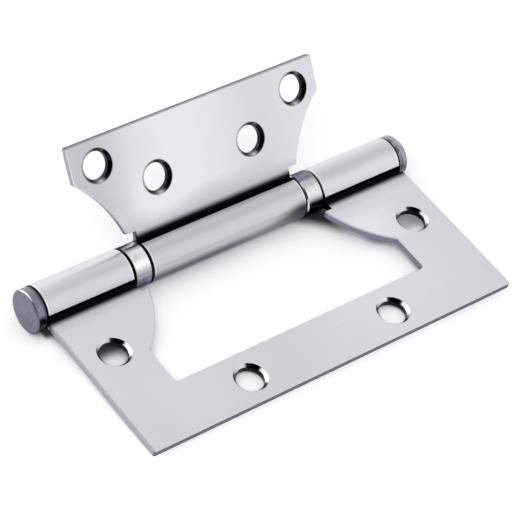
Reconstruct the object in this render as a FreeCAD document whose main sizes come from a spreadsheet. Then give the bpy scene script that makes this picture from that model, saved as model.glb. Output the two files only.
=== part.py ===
import FreeCAD, Part
import itertools
import math
import os
import Sketcher

# A non-mortise ball-bearing door hinge, in millimetres.
# The pin lies on X with its middle at the origin.
# The outer leaf lies in the XY plane towards -Y, its countersunk face up (+Z).
# The inner leaf is built laid flat towards +Y and then swung up to its opening angle.

os.makedirs("parts", exist_ok=True)
doc = FreeCAD.newDocument("hinge")

# Driving sizes, then sizes that follow from them.
DRIVING = [
    ("leaf_length", 100.0),
    ("outer_reach", 44.6),
    ("sheet_thickness", 1.8),
    ("opening_angle", 127.0),
    ("pin_diameter", 6.35),
    ("running_clearance", 0.05),
    ("bend_radius", 2.6),
    ("lip_angle", 23.0),
    ("relief_reach", 7.5),
    ("knuckle_inset", 0.7),
    ("trim_reach", 5.6),
    ("middle_half", 21.4),
    ("bearing_gap", 0.5),
    ("shell_length", 4.55),
    ("end_rail", 15.05),
    ("window_reach", 31.45),
    ("window_corner", 0.9),
    ("tab_tip_step", 2.1),
    ("tab_tip_angle", 18.3),
    ("tab_arc_radius", 30.7),
    ("nesting_gap", 0.9),
    ("nesting_gap_ends", 1.15),
    ("nesting_gap_edge", 0.95),
    ("leaf_corner", 0.5),
    ("edge_break", 0.25),
    ("hole_diameter", 6.3),
    ("countersink_diameter", 7.8),
    ("outer_near_margin", 8.0),
    ("outer_near_reach", 18.7),
    ("outer_far_along", 20.05),
    ("outer_far_offset", 0.22),
    ("inner_near_along", 13.0),
    ("inner_row_step", 7.4),
    ("inner_far_offset", 2.25),
    ("inner_far_margin", 6.05),
    ("shell_wall", 0.45),
    ("shell_chamfer", 0.3),
    ("race_hub_wall", 0.6),
    ("race_clearance", 0.1),
    ("ball_diameter", 0.9),
    ("ball_clearance", 0.03),
    ("ball_count", 8.0),
    ("cage_thickness", 0.5),
    ("cage_pocket_clearance", 0.04),
    ("cap_groove", 0.5),
    ("cap_groove_depth", 1.2),
    ("cap_thickness", 2.3),
    ("cap_inset", 0.1),
    ("cap_chamfer", 0.25),
    ("spigot_length", 2.5),
    ("spigot_clearance", 0.02),
    ("pin_end_gap", 0.3),
    ("pin_chamfer", 0.4),
]

DERIVED = [
    ("pin_radius", "=pin_diameter / 2"),
    ("bore_radius", "=pin_radius + running_clearance"),
    ("barrel_radius", "=bore_radius + sheet_thickness"),
    ("half_sheet", "=sheet_thickness / 2"),
    ("bend_outside", "=bend_radius + half_sheet"),
    ("knuckle_end", "=leaf_length / 2 - knuckle_inset"),
    ("shell_start", "=middle_half + bearing_gap"),
    ("shell_end", "=shell_start + shell_length"),
    ("outer_knuckle_start", "=shell_end + bearing_gap"),
    ("barrel_clear", "=barrel_radius + 1"),
    ("leaf_clear", "=leaf_length / 2 + 1"),
    ("window_half", "=leaf_length / 2 - end_rail"),
    ("inner_half", "=window_half - nesting_gap_ends"),
    ("inner_reach", "=window_reach - nesting_gap_edge"),
    ("inner_clear", "=inner_half + 1"),
    ("tab_tip_along", "=outer_knuckle_start - tab_tip_step"),
    ("tab_arc_along", "=tab_tip_along + tab_arc_radius * cos(tab_tip_angle)"),
    ("tab_arc_behind", "=tab_arc_radius * sin(tab_tip_angle) - relief_reach"),
    ("outer_near_along", "=leaf_length / 2 - outer_near_margin"),
    ("outer_far_reach", "=(window_reach + outer_reach) / 2 + outer_far_offset"),
    ("inner_far_along", "=tab_tip_along + inner_far_offset"),
    ("inner_far_reach", "=inner_reach - inner_far_margin"),
    ("inner_near_reach", "=inner_far_reach - inner_row_step"),
    ("inner_arc_radius", "=tab_arc_radius + nesting_gap"),
    ("inner_length", "=2 * inner_half"),
    ("shell_bore", "=barrel_radius - shell_wall"),
    ("shell_rim", "=barrel_radius - shell_chamfer"),
    ("shell_start_shoulder", "=shell_start + shell_chamfer"),
    ("shell_end_shoulder", "=shell_end - shell_chamfer"),
    ("race_bore", "=pin_radius + race_clearance"),
    ("race_hub", "=race_bore + race_hub_wall"),
    ("race_rim", "=shell_bore - race_clearance"),
    ("shell_middle", "=(shell_start + shell_end) / 2"),
    ("ball_radius", "=ball_diameter / 2"),
    ("inner_race_track", "=shell_middle - ball_radius - ball_clearance"),
    ("outer_race_track", "=shell_middle + ball_radius + ball_clearance"),
    ("ball_circle", "=(pin_radius + shell_bore) / 2"),
    ("cage_bore", "=pin_radius + running_clearance"),
    ("cage_rim", "=shell_bore - running_clearance"),
    ("cage_start", "=shell_middle - cage_thickness / 2"),
    ("cage_stop", "=shell_middle + cage_thickness / 2"),
    ("pocket_width", "=ball_diameter + 2 * cage_pocket_clearance"),
    ("pocket_near", "=ball_circle - pocket_width / 2"),
    ("pocket_far", "=ball_circle + pocket_width / 2"),
    ("pocket_side", "=pocket_width / 2"),
    ("cap_radius", "=barrel_radius - cap_inset"),
    ("cap_neck", "=barrel_radius - cap_groove_depth"),
    ("cap_start", "=knuckle_end + cap_groove"),
    ("cap_face", "=cap_start + cap_thickness"),
    ("cap_shoulder", "=cap_face - cap_chamfer"),
    ("cap_face_radius", "=cap_radius - cap_chamfer"),
    ("spigot_radius", "=bore_radius - spigot_clearance"),
    ("spigot_start", "=knuckle_end - spigot_length"),
    ("pin_length", "=2 * (spigot_start - pin_end_gap)"),
]

sizes = doc.addObject("Spreadsheet::Sheet", "sizes")
for row, (name, content) in enumerate(DRIVING + DERIVED, start=1):
    sizes.set("A%d" % row, name)
    sizes.set("B%d" % row, str(content))
    sizes.setAlias("B%d" % row, name)
doc.recompute()


def size(name):
    return float(getattr(sizes, name))


def newBody(label):
    body = doc.addObject("PartDesign::Body", label)
    body.Label = label
    return body


def planeOf(body, role):
    for feature in body.Origin.OriginFeatures:
        if feature.Role == role:
            return feature
    raise ValueError(role)


def newSketch(body, label, role, lift=None):
    sketch = body.newObject("Sketcher::SketchObject", label)
    sketch.AttachmentSupport = [(planeOf(body, role), "")]
    sketch.MapMode = "FlatFace"
    if lift:
        sketch.setExpression("AttachmentOffset.Base.z", "sizes." + lift)
    return sketch


def endNear(sketch, edge, point):
    start = sketch.getPoint(edge, 1)
    stop = sketch.getPoint(edge, 2)
    if (start - point).Length < (stop - point).Length:
        return 1
    return 2


def fix(sketch, edge, end, along, alias, sign=1):
    # Ties one coordinate of a sketch point to a named size.
    value = sign * size(alias)
    kind = "DistanceX" if along == "x" else "DistanceY"
    index = sketch.addConstraint(Sketcher.Constraint(kind, -1, 1, edge, end, value))
    label = "%s_%d_%d_%s" % (alias, edge, end, along)
    sketch.renameConstraint(index, label)
    prefix = "" if sign > 0 else "-"
    sketch.setExpression("Constraints." + label, prefix + "sizes." + alias)


def fixRadius(sketch, edge, alias):
    index = sketch.addConstraint(Sketcher.Constraint("Radius", edge, size(alias)))
    label = "%s_%d" % (alias, edge)
    sketch.renameConstraint(index, label)
    sketch.setExpression("Constraints." + label, "sizes." + alias)


def joinEnds(sketch, first, second, point, kind="Coincident"):
    a = endNear(sketch, first, point)
    b = endNear(sketch, second, point)
    sketch.addConstraint(Sketcher.Constraint(kind, first, a, second, b))


def lineTo(sketch, start, stop):
    return sketch.addGeometry(Part.LineSegment(start, stop), False)


def arcThrough(sketch, start, middle, stop):
    return sketch.addGeometry(Part.Arc(start, middle, stop), False)


def vec(x, y):
    return FreeCAD.Vector(x, y, 0)


# The rolled sheet: a flat leaf, a bend towards its back, and a roll around the pin
# that ends in a lip just above the leaf.
def sectionSketch(body, side, reachAlias):
    sketch = newSketch(body, body.Label + "_section", "YZ_Plane")
    half = size("half_sheet")
    bore = size("bore_radius")
    barrel = size("barrel_radius")
    bend = size("bend_radius")
    rollMiddle = (bore + barrel) / 2
    bendAlong = math.sqrt(rollMiddle ** 2 + 2 * rollMiddle * bend)
    meet = math.atan2(bend, bendAlong)
    lip = math.radians(size("lip_angle"))
    reach = size(reachAlias)

    def bendPoint(radius, angle):
        return vec(side * (bendAlong + radius * math.cos(angle)), -bend + radius * math.sin(angle))

    def rollPoint(radius, angle):
        return vec(side * radius * math.cos(angle), radius * math.sin(angle))

    farTop = vec(side * reach, half)
    farBack = vec(side * reach, -half)
    bendTop = bendPoint(bend + half, math.pi / 2)
    bendBack = bendPoint(bend - half, math.pi / 2)
    meetTop = rollPoint(bore, -meet)
    meetBack = rollPoint(barrel, -meet)
    lipInside = rollPoint(bore, lip)
    lipOutside = rollPoint(barrel, lip)
    halfBend = (math.pi / 2 + math.pi - meet) / 2

    top = lineTo(sketch, farTop, bendTop)
    topBend = arcThrough(sketch, bendTop, bendPoint(bend + half, halfBend), meetTop)
    inside = arcThrough(sketch, meetTop, rollPoint(bore, math.pi), lipInside)
    lipFace = lineTo(sketch, lipInside, lipOutside)
    outside = arcThrough(sketch, lipOutside, rollPoint(barrel, math.pi), meetBack)
    backBend = arcThrough(sketch, meetBack, bendPoint(bend - half, halfBend), bendBack)
    back = lineTo(sketch, bendBack, farBack)
    farEdge = lineTo(sketch, farBack, farTop)

    joinEnds(sketch, top, topBend, bendTop, "Tangent")
    joinEnds(sketch, topBend, inside, meetTop, "Tangent")
    joinEnds(sketch, inside, lipFace, lipInside)
    joinEnds(sketch, lipFace, outside, lipOutside)
    joinEnds(sketch, outside, backBend, meetBack, "Tangent")
    joinEnds(sketch, backBend, back, bendBack, "Tangent")
    joinEnds(sketch, back, farEdge, farBack)
    joinEnds(sketch, farEdge, top, farTop)
    sketch.addConstraint(Sketcher.Constraint("Coincident", inside, 3, -1, 1))
    sketch.addConstraint(Sketcher.Constraint("Coincident", outside, 3, -1, 1))
    sketch.addConstraint(Sketcher.Constraint("Coincident", topBend, 3, backBend, 3))
    sketch.addConstraint(Sketcher.Constraint("Horizontal", top))
    sketch.addConstraint(Sketcher.Constraint("Vertical", farEdge))
    sketch.addConstraint(Sketcher.Constraint("PointOnObject", -1, 1, lipFace))
    fixRadius(sketch, inside, "bore_radius")
    fixRadius(sketch, outside, "barrel_radius")
    fixRadius(sketch, topBend, "bend_outside")
    farEnd = endNear(sketch, top, farTop)
    fix(sketch, top, farEnd, "x", reachAlias, side)
    fix(sketch, top, farEnd, "y", "half_sheet")
    return sketch


def padSection(body, sketch, lengthAlias):
    pad = body.newObject("PartDesign::Pad", body.Label + "_sheet")
    pad.Profile = sketch
    pad.SideType = "Symmetric"
    pad.setExpression("Length", "sizes." + lengthAlias)
    doc.recompute()
    return pad


def cutThrough(body, sketch, label):
    before = body.Shape.Volume
    pocket = body.newObject("PartDesign::Pocket", label)
    pocket.Profile = sketch
    pocket.SideType = "Symmetric"
    pocket.Type = "ThroughAll"
    doc.recompute()
    if body.Shape.Volume > before - 0.01:
        raise ValueError(label + " cuts nothing")
    return pocket


def closedOutline(sketch, corners):
    # corners: a ring of points; each is tied by the caller afterwards.
    edges = []
    for start, stop in zip(corners, corners[1:] + corners[:1]):
        edges.append(lineTo(sketch, start, stop))
    for index, edge in enumerate(edges):
        sketch.addConstraint(Sketcher.Constraint("Coincident", edge, 2, edges[(index + 1) % len(edges)], 1))
    return edges


def arcReach(radiusAlias, along):
    # Distance from the pin axis of the tab arc where it passes the given place along the pin.
    rise = math.sqrt(size(radiusAlias) ** 2 - (size("tab_arc_along") - along) ** 2)
    return rise - size("tab_arc_behind")


def arcAlong(radiusAlias, reach):
    run = math.sqrt(size(radiusAlias) ** 2 - (reach + size("tab_arc_behind")) ** 2)
    return size("tab_arc_along") - run


# The outer leaf's cut-out, mirrored about the middle of the pin. It also parts the roll
# into the two end knuckles.
def windowSketch(body):
    sketch = newSketch(body, "window_outline", "XY_Plane")
    start = size("outer_knuckle_start")
    clear = size("barrel_clear")
    relief = size("relief_reach")
    half = size("window_half")
    reach = size("window_reach")
    tip = arcAlong("tab_arc_radius", relief)
    shoulder = arcReach("tab_arc_radius", half)
    midReach = (relief + shoulder) / 2
    midAlong = arcAlong("tab_arc_radius", midReach)
    chains = {}
    for side in (1, -1):
        knuckleTop = vec(side * start, clear)
        knuckleLow = vec(side * start, -relief)
        arcTip = vec(side * tip, -relief)
        arcEnd = vec(side * half, -shoulder)
        corner = vec(side * half, -reach)
        down = lineTo(sketch, knuckleTop, knuckleLow)
        step = lineTo(sketch, knuckleLow, arcTip)
        arc = arcThrough(sketch, arcTip, vec(side * midAlong, -midReach), arcEnd)
        flank = lineTo(sketch, arcEnd, corner)
        sketch.addConstraint(Sketcher.Constraint("Coincident", down, 2, step, 1))
        joinEnds(sketch, step, arc, arcTip)
        joinEnds(sketch, arc, flank, arcEnd)
        sketch.addConstraint(Sketcher.Constraint("Vertical", down))
        sketch.addConstraint(Sketcher.Constraint("Horizontal", step))
        sketch.addConstraint(Sketcher.Constraint("Vertical", flank))
        fix(sketch, down, 1, "x", "outer_knuckle_start", side)
        fix(sketch, down, 1, "y", "barrel_clear")
        fix(sketch, down, 2, "y", "relief_reach", -1)
        fix(sketch, arc, 3, "x", "tab_arc_along", side)
        fix(sketch, arc, 3, "y", "tab_arc_behind")
        fixRadius(sketch, arc, "tab_arc_radius")
        fix(sketch, flank, 2, "x", "window_half", side)
        fix(sketch, flank, 2, "y", "window_reach", -1)
        chains[side] = (down, flank)
    across = lineTo(sketch, vec(-start, clear), vec(start, clear))
    sketch.addConstraint(Sketcher.Constraint("Coincident", across, 1, chains[-1][0], 1))
    sketch.addConstraint(Sketcher.Constraint("Coincident", across, 2, chains[1][0], 1))
    long = lineTo(sketch, vec(-half, -reach), vec(half, -reach))
    sketch.addConstraint(Sketcher.Constraint("Coincident", long, 1, chains[-1][1], 2))
    sketch.addConstraint(Sketcher.Constraint("Coincident", long, 2, chains[1][1], 2))
    return sketch


# Rectangles that trim the two outer ends of the roll a little short of the leaf.
def rollTrimSketch(body):
    sketch = newSketch(body, "roll_trim_outline", "XY_Plane")
    ends = size("knuckle_end")
    clear = size("leaf_clear")
    high = size("barrel_clear")
    low = size("trim_reach")
    for side in (1, -1):
        ring = [
            vec(side * ends, high),
            vec(side * clear, high),
            vec(side * clear, -low),
            vec(side * ends, -low),
        ]
        edges = closedOutline(sketch, ring)
        for edge in (edges[0], edges[2]):
            sketch.addConstraint(Sketcher.Constraint("Horizontal", edge))
        for edge in (edges[1], edges[3]):
            sketch.addConstraint(Sketcher.Constraint("Vertical", edge))
        fix(sketch, edges[0], 1, "x", "knuckle_end", side)
        fix(sketch, edges[0], 1, "y", "barrel_clear")
        fix(sketch, edges[2], 1, "x", "leaf_clear", side)
        fix(sketch, edges[2], 1, "y", "trim_reach", -1)
    return sketch


# What is cut away beside the middle knuckle, so the inner leaf follows the tabs' arcs.
def flankSketch(body):
    sketch = newSketch(body, "flank_outline", "XY_Plane")
    middle = size("middle_half")
    low = size("barrel_clear")
    relief = size("relief_reach")
    half = size("inner_half")
    clear = size("inner_clear")
    tip = arcAlong("inner_arc_radius", relief)
    shoulder = arcReach("inner_arc_radius", half)
    midReach = (relief + shoulder) / 2
    midAlong = arcAlong("inner_arc_radius", midReach)
    for side in (1, -1):
        knuckleLow = vec(side * middle, -low)
        knuckleTop = vec(side * middle, relief)
        arcTip = vec(side * tip, relief)
        arcEnd = vec(side * half, shoulder)
        outerTop = vec(side * clear, shoulder)
        outerLow = vec(side * clear, -low)
        up = lineTo(sketch, knuckleLow, knuckleTop)
        step = lineTo(sketch, knuckleTop, arcTip)
        arc = arcThrough(sketch, arcTip, vec(side * midAlong, midReach), arcEnd)
        out = lineTo(sketch, arcEnd, outerTop)
        down = lineTo(sketch, outerTop, outerLow)
        across = lineTo(sketch, outerLow, knuckleLow)
        sketch.addConstraint(Sketcher.Constraint("Coincident", up, 2, step, 1))
        joinEnds(sketch, step, arc, arcTip)
        joinEnds(sketch, arc, out, arcEnd)
        sketch.addConstraint(Sketcher.Constraint("Coincident", out, 2, down, 1))
        sketch.addConstraint(Sketcher.Constraint("Coincident", down, 2, across, 1))
        sketch.addConstraint(Sketcher.Constraint("Coincident", across, 2, up, 1))
        for edge in (up, down):
            sketch.addConstraint(Sketcher.Constraint("Vertical", edge))
        for edge in (step, out, across):
            sketch.addConstraint(Sketcher.Constraint("Horizontal", edge))
        fix(sketch, up, 1, "x", "middle_half", side)
        fix(sketch, up, 1, "y", "barrel_clear", -1)
        fix(sketch, up, 2, "y", "relief_reach")
        fix(sketch, arc, 3, "x", "tab_arc_along", side)
        fix(sketch, arc, 3, "y", "tab_arc_behind", -1)
        fixRadius(sketch, arc, "inner_arc_radius")
        fix(sketch, out, 1, "x", "inner_half", side)
        fix(sketch, out, 2, "x", "inner_clear", side)
    return sketch


# Four countersunk screw holes, opened from the leaf's face.
def screwHoles(body, direction, places):
    sketch = newSketch(body, body.Label + "_hole_centres", "XY_Plane", "half_sheet")
    radius = size("hole_diameter") / 2
    for alongAlias, reachAlias in places:
        for side in (1, -1):
            centre = vec(side * size(alongAlias), direction * size(reachAlias))
            circle = sketch.addGeometry(Part.Circle(centre, FreeCAD.Vector(0, 0, 1), radius), False)
            fix(sketch, circle, 3, "x", alongAlias, side)
            fix(sketch, circle, 3, "y", reachAlias, direction)
    before = body.Shape.Volume
    hole = body.newObject("PartDesign::Hole", body.Label + "_screw_holes")
    hole.Profile = sketch
    doc.recompute()
    hole.DepthType = "ThroughAll"
    hole.DrillPoint = "Flat"
    hole.HoleCutType = "Countersink"
    hole.HoleCutCustomValues = True
    hole.HoleCutCountersinkAngle = 90
    hole.setExpression("Diameter", "sizes.hole_diameter")
    hole.setExpression("HoleCutDiameter", "sizes.countersink_diameter")
    doc.recompute()
    if body.Shape.Volume > before - 0.01:
        raise ValueError(body.Label + " holes cut nothing")
    return hole


def pickEdges(body, wanted):
    picked = []
    for index, edge in enumerate(body.Shape.Edges, start=1):
        if wanted(edge):
            picked.append("Edge%d" % index)
    return picked


def isUpright(edge):
    # A straight edge through the sheet's thickness.
    if edge.Curve.TypeId != "Part::GeomLine" or len(edge.Vertexes) != 2:
        return False
    run = edge.Vertexes[1].Point - edge.Vertexes[0].Point
    return abs(run.x) + abs(run.y) < 1e-6 and abs(run.z) > size("half_sheet")


def roundCorners(body, label, places, radiusAlias):
    def wanted(edge):
        if not isUpright(edge):
            return False
        point = edge.Vertexes[0].Point
        for along, reach in places:
            if abs(abs(point.x) - along) < 0.05 and abs(point.y - reach) < 0.05:
                return True
        return False

    base = body.Tip
    picked = pickEdges(body, wanted)
    fillet = body.newObject("PartDesign::Fillet", label)
    fillet.Base = (base, picked)
    fillet.setExpression("Radius", "sizes." + radiusAlias)
    doc.recompute()
    return fillet


# Breaks the sharp outline of both faces of the flat leaf, holes left as they are.
def breakEdges(body, label, direction):
    flat = size("relief_reach")

    def wanted(edge):
        if edge.Curve.TypeId == "Part::GeomCircle" and edge.Closed:
            return False
        for vertex in edge.Vertexes:
            point = vertex.Point
            if abs(abs(point.z) - size("half_sheet")) > 1e-4 or direction * point.y < flat - 1e-4:
                return False
        middle = edge.valueAt((edge.FirstParameter + edge.LastParameter) / 2)
        if abs(abs(middle.z) - size("half_sheet")) > 1e-4:
            return False
        onReliefLine = abs(direction * middle.y - flat) < 1e-4
        return not onReliefLine

    before = body.Shape.Volume
    base = body.Tip
    chamfer = body.newObject("PartDesign::Chamfer", label)
    chamfer.Base = (base, pickEdges(body, wanted))
    chamfer.setExpression("Size", "sizes.edge_break")
    doc.recompute()
    if body.Shape.Volume > before - 0.01:
        raise ValueError(label + " cuts nothing")
    return chamfer


def outerLeaf():
    body = newBody("outer_leaf")
    padSection(body, sectionSketch(body, -1, "outer_reach"), "leaf_length")
    cutThrough(body, windowSketch(body), "window")
    cutThrough(body, rollTrimSketch(body), "roll_trim")
    places = [
        ("outer_near_along", "outer_near_reach"),
        ("outer_far_along", "outer_far_reach"),
    ]
    screwHoles(body, -1, places)
    window = [(size("window_half"), -size("window_reach"))]
    roundCorners(body, "window_corners", window, "window_corner")
    ends = [(size("leaf_length") / 2, -size("outer_reach"))]
    roundCorners(body, "outer_leaf_corners", ends, "leaf_corner")
    breakEdges(body, "outer_leaf_edges", -1)
    return body


def innerLeaf():
    body = newBody("inner_leaf")
    padSection(body, sectionSketch(body, 1, "inner_reach"), "inner_length")
    cutThrough(body, flankSketch(body), "flanks")
    places = [
        ("inner_near_along", "inner_near_reach"),
        ("inner_far_along", "inner_far_reach"),
    ]
    screwHoles(body, 1, places)
    ends = [
        (size("inner_half"), size("inner_reach")),
        (size("inner_half"), arcReach("inner_arc_radius", size("inner_half"))),
    ]
    roundCorners(body, "inner_leaf_corners", ends, "leaf_corner")
    breakEdges(body, "inner_leaf_edges", 1)
    body.Placement = FreeCAD.Placement(FreeCAD.Vector(), FreeCAD.Vector(1, 0, 0), 53)
    body.setExpression("Placement.Rotation.Angle", "(180 - sizes.opening_angle) * 1 deg")
    return body


# Turned pieces: a ring of (place along X, radius) size names, revolved about the pin axis.
# None as a radius is a point on the axis.
def turned(label, ring, facesLeft=False):
    body = newBody(label)
    sketch = newSketch(body, label + "_section", "XY_Plane")
    corners = []
    for along, radius in ring:
        corners.append(vec(size(along), size(radius) if radius else 0))
    edges = closedOutline(sketch, corners)
    for edge, (along, radius) in zip(edges, ring):
        fix(sketch, edge, 1, "x", along)
        if radius:
            fix(sketch, edge, 1, "y", radius)
        else:
            sketch.addConstraint(Sketcher.Constraint("PointOnObject", edge, 1, -1))
    spin = body.newObject("PartDesign::Revolution", label + "_turned")
    spin.Profile = sketch
    spin.ReferenceAxis = (planeOf(body, "X_Axis"), [""])
    spin.Angle = 360
    if facesLeft:
        body.Placement = FreeCAD.Placement(FreeCAD.Vector(), FreeCAD.Vector(0, 0, 1), 180)
    doc.recompute()
    return body


def hingePin():
    body = newBody("hinge_pin")
    sketch = newSketch(body, "pin_section", "YZ_Plane")
    circle = sketch.addGeometry(
        Part.Circle(FreeCAD.Vector(), FreeCAD.Vector(0, 0, 1), size("pin_radius")), False)
    sketch.addConstraint(Sketcher.Constraint("Coincident", circle, 3, -1, 1))
    fixRadius(sketch, circle, "pin_radius")
    padSection(body, sketch, "pin_length")
    rims = pickEdges(body, lambda edge: edge.Curve.TypeId == "Part::GeomCircle")
    chamfer = body.newObject("PartDesign::Chamfer", "pin_ends")
    chamfer.Base = (body.getObject("hinge_pin_sheet"), rims)
    chamfer.setExpression("Size", "sizes.pin_chamfer")
    doc.recompute()
    return body


def endCap(label, facesLeft):
    ring = [
        ("spigot_start", None),
        ("spigot_start", "spigot_radius"),
        ("knuckle_end", "spigot_radius"),
        ("knuckle_end", "cap_neck"),
        ("cap_start", "cap_neck"),
        ("cap_start", "cap_radius"),
        ("cap_shoulder", "cap_radius"),
        ("cap_face", "cap_face_radius"),
        ("cap_face", None),
    ]
    return turned(label, ring, facesLeft)


def bearingShell(label, facesLeft):
    ring = [
        ("shell_start", "shell_bore"),
        ("shell_start", "shell_rim"),
        ("shell_start_shoulder", "barrel_radius"),
        ("shell_end_shoulder", "barrel_radius"),
        ("shell_end", "shell_rim"),
        ("shell_end", "shell_bore"),
    ]
    return turned(label, ring, facesLeft)


def innerRace(label, facesLeft):
    ring = [
        ("middle_half", "race_bore"),
        ("middle_half", "race_hub"),
        ("shell_start", "race_hub"),
        ("shell_start", "race_rim"),
        ("inner_race_track", "race_rim"),
        ("inner_race_track", "race_bore"),
    ]
    return turned(label, ring, facesLeft)


def outerRace(label, facesLeft):
    ring = [
        ("outer_race_track", "race_bore"),
        ("outer_race_track", "shell_bore"),
        ("shell_end", "shell_bore"),
        ("shell_end", "race_hub"),
        ("outer_knuckle_start", "race_hub"),
        ("outer_knuckle_start", "race_bore"),
    ]
    return turned(label, ring, facesLeft)


def ballCage(label, facesLeft):
    ring = [
        ("cage_start", "cage_bore"),
        ("cage_start", "cage_rim"),
        ("cage_stop", "cage_rim"),
        ("cage_stop", "cage_bore"),
    ]
    body = turned(label, ring, facesLeft)
    sketch = newSketch(body, label + "_pocket", "YZ_Plane")
    near = size("pocket_near")
    far = size("pocket_far")
    side = size("pocket_side")
    edges = closedOutline(sketch, [vec(near, -side), vec(far, -side), vec(far, side), vec(near, side)])
    for edge in (edges[0], edges[2]):
        sketch.addConstraint(Sketcher.Constraint("Horizontal", edge))
    for edge in (edges[1], edges[3]):
        sketch.addConstraint(Sketcher.Constraint("Vertical", edge))
    fix(sketch, edges[0], 1, "x", "pocket_near")
    fix(sketch, edges[0], 1, "y", "pocket_side", -1)
    fix(sketch, edges[2], 1, "x", "pocket_far")
    fix(sketch, edges[2], 1, "y", "pocket_side")
    pocket = cutThrough(body, sketch, label + "_pocket_cut")
    pattern = body.newObject("PartDesign::PolarPattern", label + "_pockets")
    pattern.Originals = [pocket]
    pattern.Axis = (planeOf(body, "X_Axis"), [""])
    pattern.Angle = 360
    pattern.Occurrences = int(size("ball_count"))
    body.Tip = pattern
    doc.recompute()
    return body


def facetedBall(radius):
    # An icosahedron, each face split in four, with every corner pushed out to the radius.
    golden = (1 + math.sqrt(5)) / 2
    corners = []
    for one in (-1, 1):
        for long in (-golden, golden):
            corners.append(FreeCAD.Vector(0, one, long))
            corners.append(FreeCAD.Vector(one, long, 0))
            corners.append(FreeCAD.Vector(long, 0, one))
    faces = []
    for a, b, c in itertools.combinations(corners, 3):
        sides = ((a - b).Length, (b - c).Length, (c - a).Length)
        if max(sides) > 2.001:
            continue
        ab, bc, ca = (a + b) / 2, (b + c) / 2, (c + a) / 2
        for triangle in ((a, ab, ca), (b, bc, ab), (c, ca, bc), (ab, bc, ca)):
            ring = [point / point.Length * radius for point in triangle]
            faces.append(Part.Face(Part.makePolygon(ring + ring[:1])))
    ball = Part.Solid(Part.Shell(faces))
    if ball.Volume < 0:
        ball.reverse()
    return ball


# The balls sit in the cage's pockets, halfway between the two races.
def ballSet(label, facesLeft):
    count = int(size("ball_count"))
    sign = -1 if facesLeft else 1
    middle = sign * size("shell_middle")
    circle = sign * size("ball_circle")
    balls = []
    for index in range(count):
        turn = 2 * math.pi * index / count
        ball = facetedBall(size("ball_radius"))
        ball.translate(FreeCAD.Vector(middle, circle * math.cos(turn), size("ball_circle") * math.sin(turn)))
        balls.append(ball)
    piece = doc.addObject("Part::Feature", label)
    piece.Label = label
    piece.Shape = Part.Compound(balls)
    return piece


pieces = [outerLeaf(), innerLeaf(), hingePin()]
for hand, facesLeft in (("left", True), ("right", False)):
    pieces.append(endCap(hand + "_cap", facesLeft))
    pieces.append(bearingShell(hand + "_bearing_shell", facesLeft))
    pieces.append(outerRace(hand + "_outer_race", facesLeft))
    pieces.append(innerRace(hand + "_inner_race", facesLeft))
    pieces.append(ballCage(hand + "_ball_cage", facesLeft))
    pieces.append(ballSet(hand + "_balls", facesLeft))
doc.recompute()

for item in doc.Objects:
    if "Invalid" in item.State or "Error" in item.State:
        raise ValueError("%s: %s" % (item.Name, item.State))
for piece in pieces:
    if piece.Shape.isNull() or not piece.Shape.isValid():
        raise ValueError(piece.Label + " has no valid shape")
    piece.Shape.exportStep("parts/%s.step" % piece.Label)
    box = piece.Shape.BoundBox
    print("%-20s solids %d  volume %.1f  x %.2f..%.2f  y %.2f..%.2f  z %.2f..%.2f" % (
        piece.Label, len(piece.Shape.Solids), piece.Shape.Volume,
        box.XMin, box.XMax, box.YMin, box.YMax, box.ZMin, box.ZMax))
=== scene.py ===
import math
from types import SimpleNamespace

import bpy
from mathutils import Matrix, Vector

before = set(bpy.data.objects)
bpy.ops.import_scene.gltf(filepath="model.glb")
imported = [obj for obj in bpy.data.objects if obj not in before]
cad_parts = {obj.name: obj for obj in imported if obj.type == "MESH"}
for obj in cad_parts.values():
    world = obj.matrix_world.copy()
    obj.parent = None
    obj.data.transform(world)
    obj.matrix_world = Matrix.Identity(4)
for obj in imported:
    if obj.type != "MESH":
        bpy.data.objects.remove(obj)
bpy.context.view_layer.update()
print("hinge loaded")

# Sizes are in metres, angles in degrees, colours are linear.
# The pin lies on X and the outer leaf is flat towards -Y, with its countersunk face up.
# The hinge lies on a table that is tilted a little in that frame, because the barrel
# and the leaf's free edge both touch it.
# A pair of numbers is mostly a step: where a change starts and where it is complete.
# The second one may be the smaller. A step from an edge is counted from that edge.

hinge = {
    "barrelRadius": 0.005025,
    "leafAngle": 127.0,
    "rollStart": 127.0,
    "knuckleEnds": (0.0214, 0.02695, 0.0493),
    "sinkRadius": 0.0039,
    "boreRadius": 0.00315,
}

camera = {
    "place": (-0.28483, -0.29582, 0.37452),
    "right": (0.779495, -0.611347, 0.136537),
    "down": (-0.342317, -0.598275, -0.724491),
    "forward": (0.524602, 0.517998, -0.675626),
    "lens": 171.23,
    "sensor": 36.0,
    "clip": (0.01, 20.0),
}


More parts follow.
